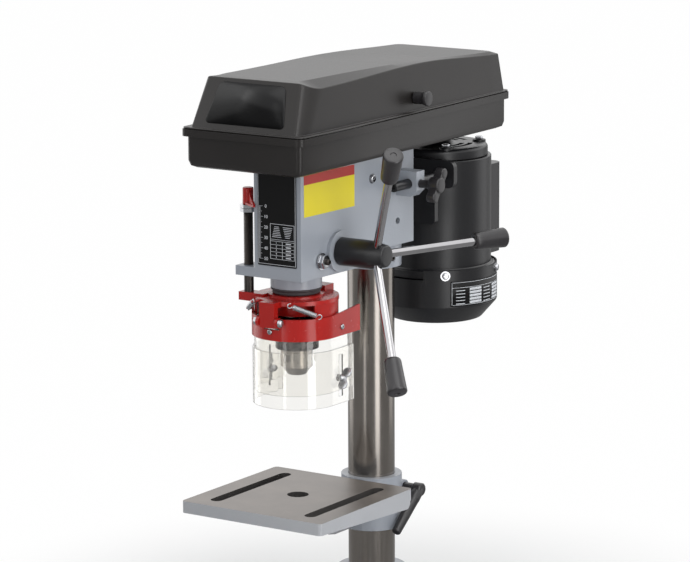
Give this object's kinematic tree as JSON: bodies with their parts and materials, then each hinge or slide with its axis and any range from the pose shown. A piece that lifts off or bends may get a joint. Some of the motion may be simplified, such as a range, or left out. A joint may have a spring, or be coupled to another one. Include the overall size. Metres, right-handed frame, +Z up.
{
  "type": "benchtop drill press",
  "caption": "Benchtop drill press with sliding tilting table, three-spoke feed, depth stop, clear chuck guard, belt case and rear motor.",
  "frame": {"origin": "underside of the base, on the axis of the column", "axes": "+Z up along the column, -Y to the operator, +X to the side of the feed handles"},
  "size_m": [0.2324, 0.423, 0.5783],
  "materials": {
    "casting_paint": "semi-gloss grey-blue paint over cast iron",
    "case_paint": "satin dark grey paint",
    "black_paint": "semi-gloss black paint",
    "ground_steel": "ground and turned steel",
    "bright_steel": "bright plating",
    "dark_steel": "blackened steel",
    "pulley_aluminium": "turned aluminium",
    "black_plastic": "satin black plastic",
    "plate_black": "black printed plate",
    "guard_red": "glossy red plastic",
    "clear_plastic": "clear polycarbonate",
    "rubber": "black rubber",
    "button_green": "gloss green plastic",
    "button_red": "gloss red plastic"
  },
  "bodies": {
    "stand": {"base": "casting_paint", "column_flange": "casting_paint", "column": "ground_steel", "head_casting": "casting_paint", "return_spring_cap": "black_paint", "return_spring": "bright_steel", "pulley_case": "case_paint", "switch_box": "black_plastic", "scale_plate": "plate_black", "v_belt": "rubber"},
    "quill_lock": {"quill_lock_screw": "dark_steel"},
    "bracket": {"table_bracket": "casting_paint"},
    "bracket_clamp": {"table_clamp_lever": "black_plastic"},
    "tilt_bolt": {"table_tilt_bolt": "dark_steel"},
    "table": {"table": "ground_steel"},
    "feed": {"pinion_shaft": "ground_steel", "feed_hub": "black_paint", "spoke_1": "bright_steel", "spoke_2": "bright_steel", "spoke_3": "bright_steel", "feed_grip_1": "black_plastic", "feed_grip_2": "black_plastic", "feed_grip_3": "black_plastic"},
    "quill": {"quill": "ground_steel", "quill_bump_ring": "rubber", "guard_collar": "guard_red", "depth_stop_rod": "dark_steel", "depth_pointer": "guard_red", "guard_spring_left": "bright_steel", "guard_spring_right": "bright_steel"},
    "depth_nuts": {"depth_nut_lower": "dark_steel", "depth_nut_upper": "dark_steel"},
    "spindle": {"spindle": "ground_steel", "chuck_body": "ground_steel"},
    "chuck_sleeve": {"chuck_sleeve": "ground_steel"},
    "chuck_jaw_1": {"chuck_jaw_1": "dark_steel"},
    "chuck_jaw_2": {"chuck_jaw_2": "dark_steel"},
    "chuck_jaw_3": {"chuck_jaw_3": "dark_steel"},
    "guard": {"guard_band": "guard_red", "upper_shield": "clear_plastic", "guard_hinge_bolt": "bright_steel"},
    "lower_shield": {"lower_shield": "clear_plastic"},
    "wing_screw_left": {"wing_screw_left": "bright_steel"},
    "wing_screw_right": {"wing_screw_right": "bright_steel"},
    "spindle_pulley": {"spindle_pulley": "pulley_aluminium"},
    "motor": {"motor_housing": "black_paint", "motor_bell": "black_paint", "fan_cover": "black_paint", "capacitor_cover": "black_paint", "motor_plate": "dark_steel", "slide_bar_left": "dark_steel", "slide_bar_right": "dark_steel"},
    "rotor": {"motor_rotor": "dark_steel", "motor_pulley": "pulley_aluminium"},
    "tension_knob_left": {"tension_knob_left": "black_plastic"},
    "tension_knob_right": {"tension_knob_right": "black_plastic"},
    "lid": {"lid": "case_paint"},
    "lid_knob": {"lid_knob": "black_plastic"},
    "start_button": {"start_button": "button_green"},
    "stop_button": {"stop_button": "button_red"}
  },
  "joints": [
    {"name": "table_lift", "type": "slide", "parent": "stand", "child": "bracket", "axis": [0, 0, -1], "range_m": [-0.05, 0.025]},
    {"name": "table_clamp_turn", "type": "hinge", "parent": "bracket", "child": "bracket_clamp", "pos_m": [0, 0.0295, 0.1455], "axis": [1, 0, 0], "range_deg": [-60, 60]},
    {"name": "tilt_bolt_turn", "type": "hinge", "parent": "bracket", "child": "tilt_bolt", "pos_m": [0, -0.0763, 0.138], "axis": [0, 1, 0], "range_deg": [-180, 0]},
    {"name": "table_tilt", "type": "hinge", "parent": "bracket", "child": "table", "pos_m": [0, -0.06, 0.138], "axis": [0, 1, 0], "range_deg": [-45, 45]},
    {"name": "quill_lock_turn", "type": "hinge", "parent": "stand", "child": "quill_lock", "pos_m": [0.03, -0.128, 0.3997], "axis": [1, 0, 0], "range_deg": [0, 180]},
    {"name": "feed_turn", "type": "hinge", "parent": "stand", "child": "feed", "pos_m": [0, -0.1, 0.4055], "axis": [1, 0, 0], "range_deg": [0, 238.73], "stiffness_Nm_per_rad": 0.15, "springref_deg": -143.24, "deforming": ["return_spring"]},
    {"name": "quill_feed", "type": "slide", "parent": "stand", "child": "quill", "axis": [0, 0, -1], "range_m": [0, 0.05]},
    {"name": "depth_nuts_slide", "type": "slide", "parent": "quill", "child": "depth_nuts", "axis": [0, 0, 1], "range_m": [-0.049, 0]},
    {"name": "spindle_turn", "type": "hinge", "parent": "quill", "child": "spindle", "pos_m": [0, -0.1286, 0.36], "axis": [0, 0, 1], "continuous": true},
    {"name": "chuck_turn", "type": "hinge", "parent": "spindle", "child": "chuck_sleeve", "pos_m": [0, -0.1286, 0.33], "axis": [0, 0, 1], "range_deg": [0, 3600]},
    {"name": "jaw_1_slide", "type": "slide", "parent": "spindle", "child": "chuck_jaw_1", "axis": [0, 0.2588, 0.9659], "range_m": [0, 0.02]},
    {"name": "jaw_2_slide", "type": "slide", "parent": "spindle", "child": "chuck_jaw_2", "axis": [-0.2241, -0.1294, 0.9659], "range_m": [0, 0.02]},
    {"name": "jaw_3_slide", "type": "slide", "parent": "spindle", "child": "chuck_jaw_3", "axis": [0.2241, -0.1294, 0.9659], "range_m": [0, 0.02]},
    {"name": "guard_flip", "type": "hinge", "parent": "quill", "child": "guard", "pos_m": [0, -0.1748, 0.3465], "axis": [-1, 0, 0], "range_deg": [0, 95], "stiffness_Nm_per_rad": 0.4, "springref_deg": -28.65, "deforming": ["guard_spring_left", "guard_spring_right"]},
    {"name": "shield_slide", "type": "slide", "parent": "guard", "child": "lower_shield", "axis": [0, 0, -1], "range_m": [-0.011, 0.019]},
    {"name": "wing_turn_left", "type": "hinge", "parent": "guard", "child": "wing_screw_left", "pos_m": [-0.046, -0.116, 0.287], "axis": [-1, 0, 0], "range_deg": [0, 180]},
    {"name": "wing_turn_right", "type": "hinge", "parent": "guard", "child": "wing_screw_right", "pos_m": [0.046, -0.116, 0.287], "axis": [1, 0, 0], "range_deg": [0, 180]},
    {"name": "motor_slide", "type": "slide", "parent": "stand", "child": "motor", "axis": [0, 1, 0], "range_m": [-0.012, 0], "deforming": ["v_belt"]},
    {"name": "motor_turn", "type": "hinge", "parent": "motor", "child": "rotor", "pos_m": [0, 0.119, 0.41], "axis": [0, 0, 1], "continuous": true},
    {"name": "pulley_turn", "type": "hinge", "parent": "stand", "child": "spindle_pulley", "pos_m": [0, -0.1286, 0.51], "axis": [0, 0, 1], "continuous": true},
    {"name": "tension_turn_left", "type": "hinge", "parent": "stand", "child": "tension_knob_left", "pos_m": [-0.07, -0.001, 0.4584], "axis": [-1, 0, 0], "range_deg": [0, 180]},
    {"name": "tension_turn_right", "type": "hinge", "parent": "stand", "child": "tension_knob_right", "pos_m": [0.07, -0.001, 0.4584], "axis": [1, 0, 0], "range_deg": [0, 180]},
    {"name": "lid_open", "type": "hinge", "parent": "stand", "child": "lid", "pos_m": [-0.0745, -0.02, 0.52985], "axis": [0, -1, 0], "range_deg": [0, 100]},
    {"name": "lid_knob_turn", "type": "hinge", "parent": "lid", "child": "lid_knob", "pos_m": [0.065, -0.0167, 0.544], "axis": [1, 0, 0], "range_deg": [0, 90]},
    {"name": "start_press", "type": "slide", "parent": "stand", "child": "start_button", "axis": [1, 0, 0], "range_m": [0, 0.002], "stiffness_N_per_m": 500, "springref_m": -0.002},
    {"name": "stop_press", "type": "slide", "parent": "stand", "child": "stop_button", "axis": [1, 0, 0], "range_m": [0, 0.002], "stiffness_N_per_m": 500, "springref_m": -0.002}
  ],
  "couplings": [
    {"joint": "quill_feed", "follows": "feed_turn", "m_per_rad": 0.012},
    {"joint": "pulley_turn", "follows": "motor_turn", "ratio": 1},
    {"joint": "spindle_turn", "follows": "motor_turn", "ratio": 1},
    {"joint": "jaw_1_slide", "follows": "chuck_turn", "m_per_rad": 0.000318},
    {"joint": "jaw_2_slide", "follows": "chuck_turn", "m_per_rad": 0.000318},
    {"joint": "jaw_3_slide", "follows": "chuck_turn", "m_per_rad": 0.000318}
  ]
}
